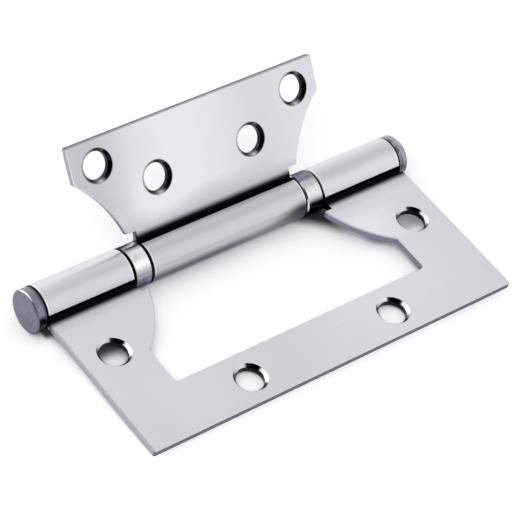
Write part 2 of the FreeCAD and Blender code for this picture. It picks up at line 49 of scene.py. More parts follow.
class Shade:
    # A socket in a node tree that can be added, multiplied and so on.
    def __init__(self, tree, socket=None):
        self.tree = tree
        self.socket = socket

    def node(self, kind, settings, sockets, output=0):
        # One node: its type, its settings, then the values or links of its sockets.
        made = self.tree.nodes.new(kind)
        for name, value in settings.items():
            setattr(made, name, value)
        for name, value in sockets.items():
            self.feed(value, made.inputs[name])
        return Shade(self.tree, made.outputs[output])

    def feed(self, value, socket):
        if isinstance(value, Shade):
            self.tree.links.new(value.socket, socket)
        elif socket.type == "RGBA":
            socket.default_value = (*value, 1.0)
        else:
            socket.default_value = value

    def math(self, operation, *others):
        return self.node("ShaderNodeMath", {"operation": operation}, dict(enumerate((self,) + others)))

    def __add__(self, other):
        return self.math("ADD", other)

    __radd__ = __add__

    def __sub__(self, other):
        return self.math("SUBTRACT", other)

    def __rsub__(self, other):
        return self.math("MULTIPLY", -1.0) + other

    def __mul__(self, other):
        return self.math("MULTIPLY", other)

    __rmul__ = __mul__

    def __abs__(self):
        return self.math("ABSOLUTE")

    def orMore(self, other):
        return self.math("MAXIMUM", other)

    def step(self, low, high):
        # 0 up to low and 1 from high, with a smooth change between; high may be the smaller one.
        return self.node("ShaderNodeMapRange", {"interpolation_type": "SMOOTHSTEP"},
                         {"Value": self, "From Min": low, "From Max": high}, "Result")

    def stepFrom(self, edge, fade):
        return self.step(edge + fade[0], edge + fade[1])


def splitVector(shades, vector):
    return [shades.node("ShaderNodeSeparateXYZ", {}, {"Vector": vector}, part) for part in range(3)]


def objectPlace(shades):
    return shades.node("ShaderNodeTexCoord", {}, {}, "Object")


def noise(shades, place, scale, detail, stretch=(1.0, 1.0, 1.0)):
    # A noise about 0, drawn out along the axes that have a small stretch.
    moved = shades.node("ShaderNodeMapping", {}, {"Vector": place, "Scale": stretch}, "Vector")
    sockets = {"Vector": moved, "Scale": scale, "Detail": detail}
    return shades.node("ShaderNodeTexNoise", {}, sockets, "Fac") - 0.5


def mixColour(shades, factor, first, second):
    # Sockets 6 and 7 are the colour pair, output 2 is the mixed colour.
    return shades.node("ShaderNodeMix", {"data_type": "RGBA"}, {0: factor, 6: first, 7: second}, 2)


def newSurface(name):
    material = bpy.data.materials.new(name)
    material.use_nodes = True
    tree = material.node_tree
    tree.nodes.clear()
    shader = tree.nodes.new("ShaderNodeBsdfPrincipled")
    output = tree.nodes.new("ShaderNodeOutputMaterial")
    tree.links.new(shader.outputs[0], output.inputs[0])
    return material, Shade(tree), shader


def newMetal(name):
    material, shades, shader = newSurface(name)
    shader.inputs["Metallic"].default_value = 1.0
    shader.inputs["Specular IOR Level"].default_value = 0.02
    return material, shades, shader


def finishMetal(shades, shader, tone, rough, height, depth):
    sockets = {"Height": height, "Strength": 1.0, "Distance": depth}
    normal = shades.node("ShaderNodeBump", {}, sockets, "Normal")
    shades.feed(tone, shader.inputs["Base Color"])
    shades.feed(rough, shader.inputs["Roughness"])
    shades.feed(normal, shader.inputs["Normal"])


def dress(node, material):
    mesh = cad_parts[node].data
    mesh.materials.clear()
    mesh.materials.append(material)


def turnRoundPin(y, z):
    # Degrees round the pin: 0 where the rings face up and forwards, more towards the table.
    roll = math.radians(hinge["rollStart"])
    out = y * math.cos(roll) + z * math.sin(roll)
    over = z * math.cos(roll) - y * math.sin(roll)
    return over.math("ARCTAN2", out) * math.degrees(1.0)


# The satin sheet that both leaves are made of.
sheet = {
    "dull": (0.55, 0.545, 0.59),
    "light": (0.79, 0.785, 0.83),
    "grain": (2600.0, 4.0, (0.03, 1.0, 1.0)),  # scale, detail and stretch
    "fineGrain": (7000.0, 2.0, (0.05, 1.0, 1.0)),
    "cloud": (38.0, 2.0),
    "grainGain": 0.16,
    "fineGain": 0.1,
    "cloudGain": 0.35,
    "roughness": 0.25,
    "roughGains": {"grain": 0.08, "cloud": 0.08, "rim": 0.2, "sink": 0.20, "roll": 0.09},
    "grainDepth": 0.000004,
    "offBarrel": (0.0008, 0.0013),  # the leaf begins this far outside the barrel
    # Painted highlights and painted shade: patches, bands and bright arrises.
    "paintedSheenFade": (0.004, 0.008),
    "paintedBandFade": 0.0002,
    "arrisHighlight": (0.0005, 0.0001),
    "arrisHighlightGain": 0.9,
    "noArrisHighlight": ((0.0470, 0.0485), (0, -45)),  # along the pin, then round it
    # Painted shade underneath the roll, and how it climbs near one end.
    "underRoll": (0.095, 0.09, 0.125),
    "underEnd": (0.045, 0.042, 0.062),
    "underEndShare": 0.8,
    "underBack": (120, 85),
    "climbStart": (0.005, 0.0205),
    "climbStop": (0.0220, 0.0216),
    "climbNarrows": 0.12,
    "thinShade": ((-0.002, 0.009), (0.0200, 0.0140), 0.22),  # where it is weaker, and by how much
    # Sheared walls through the sheet, and the broken edges beside them, with painted shade and a painted
    # highlight.
    "wall": (0.25, 0.247, 0.33),
    "freeWall": (0.165, 0.16, 0.20),
    "paleWall": (0.60, 0.60, 0.64),
    "end": (0.42, 0.415, 0.46),
    "endShade": (0.02, 0.02, 0.028),
    "endShadeReach": (0.0090, 0.0058),
    "shine": (0.97, 0.97, 0.98),
    "wallFacing": (0.62, 0.4),
    "rimFacing": (0.85, 0.80),
    "edgeFade": (-0.0004, -0.0002),
    "rimDull": 0.5,  # how much the broken edges lose their mirror
    "rimShine": 0.8,
    # Screw holes, with painted shade and painted highlights.
    "hole": (0.009, 0.009, 0.014),
    "holeFade": (0.0002, 0.0001),
    "boreFade": (0.0002, 0.00005),
    "edgingFade": (0.00022, 0.00008),
    "sinkSlope": 1.414,  # brings the normal of a 45 degree slope to full length
    "darkNearEnds": ((0.030, 0.036), 0.03),  # the countersinks' dark side, weaker by this
    "lightNearEnd": ((0.030, 0.036), 0.55),  # the same for the bright side
    # Painted shade in the seam between the rolled lip and the leaf and on the cut ends of the roll.
    "seam": (0.003, 0.003, 0.006),
    "besideSeam": (0.40, 0.39, 0.46),
    "besideGain": 0.6,
    "besideFade": (0.0042, 0.0),
    "seamFade": (0.0016, 0.0),
    "seamDepth": (-0.0003, -0.0008),
    "troughReach": (0.0038, 0.0042),
    "troughFloor": (-0.0003, 0.0002),
    "troughTop": (0.00215, 0.0016),
    "cutFacing": (0.6, 0.9),
    "cutReach": (0.0085, 0.0070),
    "cutFade": (-0.0002, -0.0004),
    "cutTopTurn": (12, -22),
    # A painted highlight on the upper rim of the right knuckle's end.
    "rimHighlightRadius": (0.00452, 0.00474),
    "rimHighlightTurn": (28, 14),
    "toRight": (-0.01, 0.01),
}

# What differs between the leaves. A sheen is a painted highlight on a patch of the flat face,
# or painted shade where its gain is below 0: start, peak and end along the pin, start and end
# of its reach, gain in lightness. A roll band is a stripe of painted shade or painted highlight
# round the barrel: start and end along the pin, then where it starts, peaks and ends in degrees
# round the pin, and its gain in lightness. A painted shadow or painted highlight on the
# countersinks faces across and outwards, from one cosine to another, with its strength.
outer = {
    "reach": (0.0, -1.0, 0.0),
    "face": (0.0, 0.0, 1.0),
    "freeEdge": 0.0446,
    "freeBreak": 0.0,
    "paleWall": None,
    "cutEnd": (0.003, 0.003, 0.006),
    "cutTop": (0.12, 0.12, 0.14),
    "rimHighlight": 1.0,
    "halfLength": 0.0500,
    "base": 0.5,
    "seamReach": 0.0059,
    "paintedSheens": (
        (0.018, 0.030, 0.046, 0.014, 0.026, 0.42),
        (-0.046, -0.034, -0.022, 0.030, 0.046, 0.1),
        (-0.012, 0.020, 0.055, 0.028, 0.054, 0.25),
    ),
    "paintedRollBands": (
        (0.0265, 0.050, -78, -42, -12, -0.45),
        (0.0265, 0.050, -14, 4, 30, 0.1),
    ),
    "underRoll": (36, 50),
    "climb": 0.0,
    "holes": ((-0.042, 0.0187), (0.042, 0.0187), (-0.02005, 0.038245), (0.02005, 0.038245)),
    "holeEdgeShade": 0.0,
    "sinkPaintedShadows": ((-0.707, 0.707, 0.84, 0.94, 1.0), (0.97, -0.24, 0.80, 0.97, 0.8)),
    "sinkPaintedHighlights": ((-0.97, -0.24, 0.72, 0.90),),
}
leafTilt = math.radians(hinge["leafAngle"])
inner = {
    "reach": (0.0, -math.cos(leafTilt), math.sin(leafTilt)),
    "face": (0.0, -math.sin(leafTilt), -math.cos(leafTilt)),
    "freeEdge": 0.0305,
    "freeBreak": 0.5,  # how far the free edge's broken corner is as dark as its wall
    "paleWall": (0.009, 0.021),  # the walls go from dark to pale over this reach
    "cutEnd": (0.2, 0.2, 0.24),
    "cutTop": (0.2, 0.2, 0.24),
    "rimHighlight": 0.0,
    "halfLength": 0.0338,
    # The inner leaf's base is darker than the outer's, though both are the same sheet: painted shade.
    "base": 0.28,
    "seamReach": 0.0058,
    "paintedSheens": (
        (-0.032, -0.007, 0.026, 0.013, 0.042, 0.75),
        (-0.024, -0.014, 0.0, 0.0095, 0.022, 0.6),
        (-0.040, -0.030, -0.017, 0.014, 0.040, -0.3),
        (0.012, 0.027, 0.070, 0.010, 0.040, 0.4),
    ),
    "paintedRollBands": ((-0.0215, 0.0215, -60, -44, -28, -0.3),),
    "underRoll": (26, 62),
    "climb": 25.0,
    "holes": ((-0.013, 0.01705), (0.013, 0.01705), (-0.0271, 0.02445), (0.0271, 0.02445)),
    "holeEdgeShade": 0.5,
    "sinkPaintedShadows": (
        (-0.98, 0.20, 0.15, 0.65, 1.0),
        (0.17, -0.98, 0.50, 0.95, 0.75),
        (0.90, 0.43, 0.30, 0.75, 0.75),
    ),
    "sinkPaintedHighlights": (),
}


# Where a point lies on the leaf and which way it faces.
def leafPlaces(shades, place, leaf):
    x, y, z = splitVector(shades, place)
    normal = shades.node("ShaderNodeTexCoord", {}, {}, "Normal")
    across, faceY, faceZ = splitVector(shades, normal)
    reach = leaf["reach"]
    face = leaf["face"]
    at = SimpleNamespace(x=x, across=across)
    at.along = y * reach[1] + z * reach[2]
    at.lift = y * face[1] + z * face[2]
    at.fromPin = (at.along * at.along + at.lift * at.lift).math("SQRT")
    at.turn = turnRoundPin(y, z)
    at.outwards = faceY * reach[1] + faceZ * reach[2]
    at.onLeaf = at.fromPin.stepFrom(hinge["barrelRadius"], sheet["offBarrel"])
    at.onRoll = 1.0 - at.onLeaf
    facing = abs(faceY * face[1] + faceZ * face[2])
    at.wall = facing.step(*sheet["wallFacing"]) * at.onLeaf
    at.rim = facing.step(*sheet["rimFacing"]) * at.onLeaf
    return at


# Painted highlights and painted shade: patches of the flat face, bands on the roll and thin bright arrises
# at the knuckles' ends.
def addPaintedSheens(lightness, leaf, at):
    x = at.x
    nearFade, farFade = sheet["paintedSheenFade"]
    for start, peak, end, low, high, gain in leaf["paintedSheens"]:
        patch = x.step(start, peak) * x.step(end, peak)
        patch = patch * at.along.step(low - nearFade, low) * at.along.step(high, high - farFade)
        lightness = lightness + patch * gain
    fade = sheet["paintedBandFade"]
    for start, end, low, peak, high, gain in leaf["paintedRollBands"]:
        band = x.step(start, start + fade) * x.step(end, end - fade)
        band = band * at.turn.step(low, peak) * at.turn.step(high, peak)
        lightness = lightness + band * at.onRoll * gain
    alongStep, turnStep = sheet["noArrisHighlight"]
    plain = x.step(*alongStep) * at.turn.step(*turnStep)
    for end in hinge["knuckleEnds"]:
        arrisHighlight = abs(abs(x) - end).step(*sheet["arrisHighlight"]) * at.onRoll
        lightness = lightness + arrisHighlight * (1.0 - plain) * sheet["arrisHighlightGain"]
    return lightness


# Painted shade: the roll is darker underneath, and the shade climbs towards one end of the middle knuckle.
def shadeUnder(shades, tone, leaf, at):
    start, full = leaf["underRoll"]
    rise = at.x.step(*sheet["climbStart"])
    atEnd = rise * rise * at.x.step(*sheet["climbStop"])
    climb = atEnd * leaf["climb"]
    narrower = climb * sheet["climbNarrows"]
    under = (at.turn + climb).step(narrower + start, full - narrower)
    under = under * at.turn.step(*sheet["underBack"]) * at.onRoll
    thinStart, thinStop, thinner = sheet["thinShade"]
    under = under * (1.0 - at.x.step(*thinStart) * at.x.step(*thinStop) * thinner)
    shade = mixColour(shades, atEnd * sheet["underEndShare"], sheet["underRoll"], sheet["underEnd"])
    return mixColour(shades, under, tone, shade)


# Sheared walls are darker and rougher than the faces, the leaf's two ends less so.
def shadeWalls(shades, tone, leaf, at):
    leafEnd = abs(at.x).stepFrom(leaf["halfLength"], sheet["edgeFade"]) * at.onLeaf
    freeEdge = at.along.stepFrom(leaf["freeEdge"], sheet["edgeFade"])
    tone = mixColour(shades, at.wall, tone, sheet["wall"])
    if leaf["paleWall"]:
        paler = at.wall * at.along.step(*leaf["paleWall"])
        tone = mixColour(shades, paler, tone, sheet["paleWall"])
    tone = mixColour(shades, leafEnd * (1.0 - freeEdge), tone, sheet["end"])
    # Painted shade on the ends beside the barrel.
    besideBarrel = leafEnd * at.wall * at.along.step(*sheet["endShadeReach"])
    tone = mixColour(shades, besideBarrel, tone, sheet["endShade"])
    # Painted highlight along the inner leaf's broken edges.
    if leaf["paleWall"]:
        brokenEdge = at.rim * (1.0 - at.wall) * (1.0 - freeEdge) * sheet["rimShine"]
        tone = mixColour(shades, brokenEdge, tone, sheet["shine"])
    # Painted shade on the wall of the free edge.
    darkEdge = freeEdge * at.wall.orMore(at.rim * leaf["freeBreak"])
    return mixColour(shades, darkEdge, tone, sheet["freeWall"])


def nearestHole(x, along, holes):
    nearest = None
    for middle, reach in holes:
        sideways = x - middle
        outwards = along - reach
        gap = (sideways * sideways + outwards * outwards).math("SQRT")
        nearest = gap if nearest is None else nearest.math("MINIMUM", gap)
    return nearest


# Screw holes: painted shade on the bore walls and round the inner leaf's countersinks, and countersinks
# with painted shadows on one side and, on the outer leaf, a painted highlight on the other.
def shadeHoles(shades, tone, leaf, at):
    fromHole = nearestHole(at.x, at.along, leaf["holes"])
    inHole = fromHole.stepFrom(hinge["sinkRadius"], sheet["holeFade"])
    inBore = fromHole.stepFrom(hinge["boreRadius"], sheet["boreFade"])
    edging = fromHole.stepFrom(hinge["sinkRadius"], sheet["edgingFade"])
    tone = mixColour(shades, edging * leaf["holeEdgeShade"], tone, sheet["wall"])
    sink = at.rim * inHole
    shadow = inBore * inHole
    endStep, weaker = sheet["darkNearEnds"]
    nearEnds = abs(at.x).step(*endStep)
    for sideways, away, low, high, strength in leaf["sinkPaintedShadows"]:
        faces = (at.across * sideways + at.outwards * away) * sheet["sinkSlope"]
        shadow = shadow.orMore(faces.step(low, high) * sink * (strength - nearEnds * weaker))
    endStep, weaker = sheet["lightNearEnd"]
    kept = 1.0 - at.x.step(*endStep) * weaker
    for sideways, away, low, high in leaf["sinkPaintedHighlights"]:
        faces = (at.across * sideways + at.outwards * away) * sheet["sinkSlope"]
        tone = mixColour(shades, faces.step(low, high) * sink * kept, tone, sheet["shine"])
    return mixColour(shades, shadow, tone, sheet["hole"]), sink


# Painted shade: the seam between the rolled lip and the leaf is dark, and the leaf lightens away from it.
def shadeSeam(shades, tone, leaf, at):
    inSeam = at.fromPin.stepFrom(hinge["barrelRadius"], sheet["seamDepth"])
    inTrough = at.along.step(*sheet["troughReach"])
    inTrough = inTrough * at.lift.step(*sheet["troughFloor"]) * at.lift.step(*sheet["troughTop"])
    beside = at.along.stepFrom(leaf["seamReach"], sheet["besideFade"]) * inTrough
    tone = mixColour(shades, beside * sheet["besideGain"], tone, sheet["besideSeam"])
    # Painted shade on the cut ends of the roll and of the bend beside it, lighter at the top.
    cutEnd = abs(at.across).step(*sheet["cutFacing"]) * at.along.step(*sheet["cutReach"])
    cutEnd = cutEnd * abs(at.x).stepFrom(leaf["halfLength"], sheet["cutFade"])
    endTone = mixColour(shades, at.turn.step(*sheet["cutTopTurn"]), leaf["cutEnd"], leaf["cutTop"])
    tone = mixColour(shades, cutEnd, tone, endTone)
    # Painted highlight on the upper rim of the right knuckle's end.
    rimHighlight = cutEnd * at.fromPin.step(*sheet["rimHighlightRadius"]) * at.turn.step(*sheet["rimHighlightTurn"])
    rimHighlight = rimHighlight * at.x.step(*sheet["toRight"]) * leaf["rimHighlight"]
    tone = mixColour(shades, rimHighlight, tone, sheet["shine"])
    seam = inSeam.orMore(at.along.stepFrom(leaf["seamReach"], sheet["seamFade"]) * inTrough)
    return mixColour(shades, seam, tone, sheet["seam"]), seam, rimHighlight


# Satin sheet steel, with the leaf's own reach, face, painted sheens and shade, and holes.
def sheetSteel(name, leaf):
    material, shades, shader = newMetal(name)
    place = objectPlace(shades)
    at = leafPlaces(shades, place, leaf)
    grain = noise(shades, place, *sheet["grain"])
    fineGrain = noise(shades, place, *sheet["fineGrain"])
    cloud = noise(shades, place, *sheet["cloud"])
    lightness = leaf["base"] + grain * sheet["grainGain"] + fineGrain * sheet["fineGain"]
    lightness = addPaintedSheens(lightness + cloud * sheet["cloudGain"], leaf, at)
    tone = mixColour(shades, lightness, sheet["dull"], sheet["light"])
    tone = shadeUnder(shades, tone, leaf, at)
    tone = shadeWalls(shades, tone, leaf, at)
    tone, sink = shadeHoles(shades, tone, leaf, at)
    tone, seam, rimHighlight = shadeSeam(shades, tone, leaf, at)
    brokenEdge = at.rim - sink
    gains = sheet["roughGains"]
    rough = sheet["roughness"] + grain * gains["grain"] + cloud * gains["cloud"]
    rough = rough + at.rim * gains["rim"] - sink * gains["sink"] + at.onRoll * gains["roll"]
    mirror = (1.0 - seam) * (1.0 - brokenEdge * sheet["rimDull"]) * (1.0 - rimHighlight)
    shades.feed(mirror, shader.inputs["Metallic"])
    height = (grain + fineGrain * 0.5) * (1.0 - at.rim)
    finishMetal(shades, shader, tone, rough, height, sheet["grainDepth"])
    return material


dress("outer_leaf", sheetSteel("outer_leaf_satin", outer))
dress("inner_leaf", sheetSteel("inner_leaf_satin", inner))
print("leaves done")

# The bearing shells, counted from the middle of each one, away from the middle of the hinge.
shell = {
    "middle": 0.024175,
    "halfLength": 0.002275,
    "patches": (420.0, 3.0),
    "scratches": (2400.0, 3.0, (0.25, 1.0, 1.0)),
    # The right shell's tone is set darker than the left's, though both are the same steel: painted shade.
    "light": {"left": (0.92, 0.92, 0.94), "right": (0.78, 0.78, 0.81)},
    "dark": (0.66, 0.66, 0.70),
    "wear": (0.0, 0.35),
    "wearScratches": 0.4,
    "waver": 10.0,  # degrees by which the shades' edges wander
    "slant": {"left": 5500.0, "right": 0.0},  # how the shade leans along the pin
    "slantTurn": (-20.0, -50.0),
    "mottle": 0.4,
    "mottlePatches": 1.6,
    "mottleStep": (0.0, 0.5),
    "plainBack": ((-88.0, -104.0), (95.0, 118.0)),
    # Painted highlight: this edge is kept out of the painted shade.
    "litEdge": {"left": 0.0, "right": 1.0},  # bright edge at the end towards the middle, low down
    "litEdgeReach": (-0.00174, -0.00190),
    "litEdgeTurn": ((2.0, 14.0), (62.0, 42.0)),
    # Painted highlight on the edge away from the middle.
    "glintEdge": {"left": 0.0, "right": 0.8},  # bright edge at the end away from the middle
    "glintEdgeReach": (0.00180, 0.00200),
    "glintEdgeTurn": (24, 12),
    # Painted shade at the shells' ends, where the gaps are.
    "gap": (0.004, 0.004, 0.005),
    "gapReach": {"left": 0.00034, "right": 0.0},  # dark rim at the end away from the middle
    "gapFade": (0.0, 0.00012),
    "innerGap": (-0.00215, -0.00227),
    "roughness": 0.2,
    "roughPatches": 0.2,
    "roughScratches": 0.12,
    "dentShare": 0.6,
    "depth": 0.00001,
    "glance": (0.35, 0.35, 0.38),
}

# Where painted shade lies on each shell round the pin: start and end of the change, and its new tone.
shellShades = {
    "left": (
        (-20, -50, (0.62, 0.62, 0.67)),
        (-56, -80, (0.08, 0.08, 0.10)),
        (2, 22, (0.46, 0.45, 0.51)),
        (26, 44, (0.16, 0.155, 0.20)),
    ),
    "right": (
        (-7, -27, (0.60, 0.60, 0.64)),
        (-26, -40, (0.20, 0.19, 0.25)),
        (8, 18, (0.60, 0.60, 0.65)),
        (16, 26, (0.28, 0.27, 0.33)),
        (24, 34, (0.008, 0.008, 0.012)),
    ),
}


# Bright and lightly mottled, with painted shade behind the top and underneath, plain at the back,
# and painted shade black at the gaps.
def shellSteel(hand):
    material, shades, shader = newMetal("shell_mottled_" + hand)
    shader.inputs["Specular Tint"].default_value = (*shell["glance"], 1.0)
    place = objectPlace(shades)
    x, y, z = splitVector(shades, place)
    patches = noise(shades, place, *shell["patches"])
    scratches = noise(shades, place, *shell["scratches"])
    light = shell["light"][hand]
    wear = (patches + scratches * shell["wearScratches"]).step(*shell["wear"])
    tone = mixColour(shades, wear, light, shell["dark"])
    fromMiddle = abs(x) - shell["middle"]
    turn = turnRoundPin(y, z) + (patches + scratches) * shell["waver"]
    turn = turn - fromMiddle * turn.step(*shell["slantTurn"]) * shell["slant"][hand]
    mottle = (patches * shell["mottlePatches"] + scratches).step(*shell["mottleStep"])
    overTop, underneath = shell["plainBack"]
    kept = 1.0 - turn.step(*overTop).orMore(turn.step(*underneath))
    low, high = shell["litEdgeTurn"]
    litEdge = fromMiddle.step(*shell["litEdgeReach"]) * turn.step(*low) * turn.step(*high)
    share = (1.0 - mottle * shell["mottle"]) * kept * (1.0 - litEdge * shell["litEdge"][hand])
    for shadeStart, shadeFull, paintedShade in shellShades[hand]:
        tone = mixColour(shades, turn.step(shadeStart, shadeFull) * share, tone, paintedShade)
    glintEdge = fromMiddle.step(*shell["glintEdgeReach"]) * turn.step(*shell["glintEdgeTurn"]) * kept
    tone = mixColour(shades, glintEdge * shell["glintEdge"][hand], tone, light)
    # Painted shade on the shells' ends at the gaps.
    rimStart = shell["halfLength"] - shell["gapReach"][hand]
    ends = fromMiddle.stepFrom(rimStart, shell["gapFade"]).orMore(fromMiddle.step(*shell["innerGap"]))
    tone = mixColour(shades, ends, tone, shell["gap"])
    rough = shell["roughness"] + patches * shell["roughPatches"] + scratches * shell["roughScratches"]
    shades.feed(1.0 - ends, shader.inputs["Metallic"])
    finishMetal(shades, shader, tone, rough, patches * shell["dentShare"] + scratches, shell["depth"])
    return material


cap = {
    "light": (0.30, 0.295, 0.37),
    "dark": (0.075, 0.075, 0.105),
    "brush": (3400.0, 4.0, (1.0, 1.0, 0.12)),
    "blur": (260.0, 2.0),
    "brushGain": 1.2,
    "blurGain": 0.4,
    # The side of the disc, painted lighter, and the turning marks on the right one, with a painted paler
    # stripe.
    "sideEnd": 0.0518,
    "sideFade": (0.0, -0.0002),
    "sideLight": 0.4,
    "toRight": (-0.05, 0.05),
    "bandLight": (0.49, 0.485, 0.55),
    "rings": (2600.0, 3.0, (1.0, 0.12, 0.12)),
    "smudges": (500.0, 2.0),
    "smudgeShare": 0.6,
    "ringGain": 2.4,
    "bandBase": 0.27,
    "bandPale": ((0.0500, 0.0513), 0.35),
    # Painted shade under the sides of the discs.
    "under": (0.012, 0.012, 0.016),
    "underTurn": ((20, 38), (118, 95)),
    "underRight": 0.7,  # how much weaker it is on the right cap
    # Painted shade at the left cap's inner end, beside the knuckle.
    "gap": (0.12, 0.12, 0.13),
    "gapEnd": 0.0502,
    "gapFade": (0.0002, 0.0),
    # The face's bevel, and the painted highlight arc on it.
    "bevelRadius": 0.0046,
    "bevelFade": (0.0, 0.0001),
    "arc": (0.72, 0.72, 0.75),
    "arcRadius": 0.00476,
    "arcFade": (0.0, 0.00006),
    "arcTurn": ((-85, -72), (-16, -30)),
    "roughness": 0.33,
    "roughBrush": 0.16,
    "roughBevel": 0.12,
    "depth": 0.000012,
}


# End caps: dark nickel, brushed straight across.
def capNickel():
    material, shades, shader = newMetal("cap_dark_nickel")
    place = objectPlace(shades)
    x, y, z = splitVector(shades, place)
    brush = noise(shades, place, *cap["brush"])
    blur = noise(shades, place, *cap["blur"])
    lightness = 0.5 + brush * cap["brushGain"] + blur * cap["blurGain"]
    tone = mixColour(shades, lightness, cap["dark"], cap["light"])
    turn = turnRoundPin(y, z)
    onRight = x.step(*cap["toRight"])
    # Painted light on the sides of the discs.
    side = abs(x).stepFrom(cap["sideEnd"], cap["sideFade"])
    tone = mixColour(shades, side * cap["sideLight"], tone, cap["light"])
    # The right cap's band shows its turning marks, with a painted paler stripe along the pin.
    rings = noise(shades, place, *cap["rings"])
    rings = rings + noise(shades, place, *cap["smudges"]) * cap["smudgeShare"]
    paleStep, paler = cap["bandPale"]
    lit = x.step(*paleStep) * paler + rings * cap["ringGain"] + cap["bandBase"]
    band = mixColour(shades, lit, cap["dark"], cap["bandLight"])
    tone = mixColour(shades, side * onRight, tone, band)
    # Painted shade underneath, weaker on the right cap.
    low, high = cap["underTurn"]
    underneath = turn.step(*low) * turn.step(*high) * side * (1.0 - onRight * cap["underRight"])
    tone = mixColour(shades, underneath, tone, cap["under"])
    # Painted shade on the left cap's inner end, at the gap to the knuckle.
    gap = abs(x).stepFrom(cap["gapEnd"], cap["gapFade"]) * (1.0 - onRight)
    tone = mixColour(shades, gap, tone, cap["gap"])
    fromAxis = (y * y + z * z).math("SQRT")
    bevel = fromAxis.stepFrom(cap["bevelRadius"], cap["bevelFade"]) * (1.0 - side)
    # Painted highlight: a bright arc on the bevel.
    low, high = cap["arcTurn"]
    arc = fromAxis.stepFrom(cap["arcRadius"], cap["arcFade"]) * (1.0 - side)
    tone = mixColour(shades, arc * turn.step(*low) * turn.step(*high), tone, cap["arc"])
    rough = cap["roughness"] + brush * cap["roughBrush"] + bevel * cap["roughBevel"]
    finishMetal(shades, shader, tone, rough, brush, cap["depth"])
    return material


# Turned pieces inside the barrel: light tone, dark tone and roughness.
turned = {
    "pin_ground": ((0.46, 0.46, 0.48), (0.36, 0.36, 0.38), 0.3),
    # A race painted near black, as painted shade in the gaps beside the shells.
    "race_painted_shade": ((0.05, 0.05, 0.055), (0.02, 0.02, 0.025), 0.4),
    "race_ground": ((0.55, 0.55, 0.58), (0.40, 0.40, 0.44), 0.4),
    "ball_polished": ((0.66, 0.66, 0.68), (0.60, 0.60, 0.62), 0.12),
    "cage_brass": ((0.66, 0.46, 0.20), (0.52, 0.35, 0.15), 0.33),
}
turningMarks = {
    "rings": (3000.0, 3.0, (1.0, 0.15, 0.15)),
    "roughGain": 0.1,
    "depth": 0.000004,
}


def turnedMetal(name):
    light, dark, roughness = turned[name]
    material, shades, shader = newMetal(name)
    rings = noise(shades, objectPlace(shades), *turningMarks["rings"])
    tone = mixColour(shades, 0.5 + rings, dark, light)
    rough = roughness + rings * turningMarks["roughGain"]
    finishMetal(shades, shader, tone, rough, rings, turningMarks["depth"])
    return material


turnedMetals = {name: turnedMetal(name) for name in turned}
capMetal = capNickel()
dress("hinge_pin", turnedMetals["pin_ground"])
for hand in ("left", "right"):
    dress(hand + "_bearing_shell", shellSteel(hand))
    dress(hand + "_cap", capMetal)
    dress(hand + "_outer_race", turnedMetals["race_painted_shade" if hand == "left" else "race_ground"])
    dress(hand + "_inner_race", turnedMetals["race_painted_shade"])
    dress(hand + "_balls", turnedMetals["ball_polished"])
    dress(hand + "_ball_cage", turnedMetals["cage_brass"])
print("barrel done")

# The table. Its painted shadows are laid out from the pin: along it, then across it.
table = {
    "tilt": 5.373,
    "drop": 0.005066,
    "size": 3.0,
    "roughness": 0.7,
    "tone": (0.93, 0.93, 0.935),
    "shadeTone": (0.925, 0.93, 0.97),
    "contact": (0.03, 0.028, 0.045),
    "contactReach": 0.008,
    "contactSamples": 12,
    "contactStart": 0.045,  # how close the hinge is where the paper is darkest, 1 is far off
    "contactEnd": 0.25,
    "contactAtEnds": ((0.022, 0.036), 0.03, 0.09),
    "shadeStep": (0.25, 0.95),
    # Painted shadows where the barrel's ends sit on the paper, the knuckle and then the cap.
    "barrelEnds": {
        "start": (0.0440, 0.0460),
        "knuckleStop": (0.0501, 0.0491),
        "knuckleAcross": ((-0.0064, -0.0046), (0.0, -0.003)),
        "capStop": (0.0524, 0.0508),
        "capMiddle": -0.0012,
        "capAcross": (0.0026, 0.0008),
        "capShare": 0.8,
        "gain": 0.85,
    },
    # Painted shadow behind the corner of the leaf, in the corner between it and the barrel.
    "corner": {
        "slant": (0.0150, 0.0214),
        "along": ((0.0188, 0.0208), (0.0305, 0.0275)),
        "across": (0.0005, -0.0008),
        "gain": 0.97,
    },
    # Painted shadows under the leaf by its left hole and by its right one.
    "underLeaf": (
        {"along": ((-0.0465, -0.0440), (-0.028, -0.033)),
         "across": ((-0.0182, -0.0146), (-0.004, -0.007)), "gain": 0.85},
        {"along": ((0.030, 0.034), (0.0485, 0.0470)),
         "across": ((-0.0140, -0.0165), (-0.0200, -0.0170)), "gain": 0.4},
    ),
    "glow": 0.16,  # seen by the camera and by the metal only, so the paper stays white
    "farGlow": 0.55,  # makes up for the lamp away from the hinge
    "farReach": (0.08, 0.55),
    # Painted light: glow that lifts the paper's shade close to the hinge.
    "edgeGlow": 0.23,  # keeps the paper pale close to the leaf's ends, its front and its window
    "edgeShade": (0.3, 0.95),
    "besideEnds": ((0.0465, 0.0485), (-0.004, -0.007)),
    "inFront": ((-0.0440, -0.0450), 0.3),
    "inWindow": ((0.0325, 0.0310), (-0.018, -0.024), (-0.0325, -0.0310)),
}

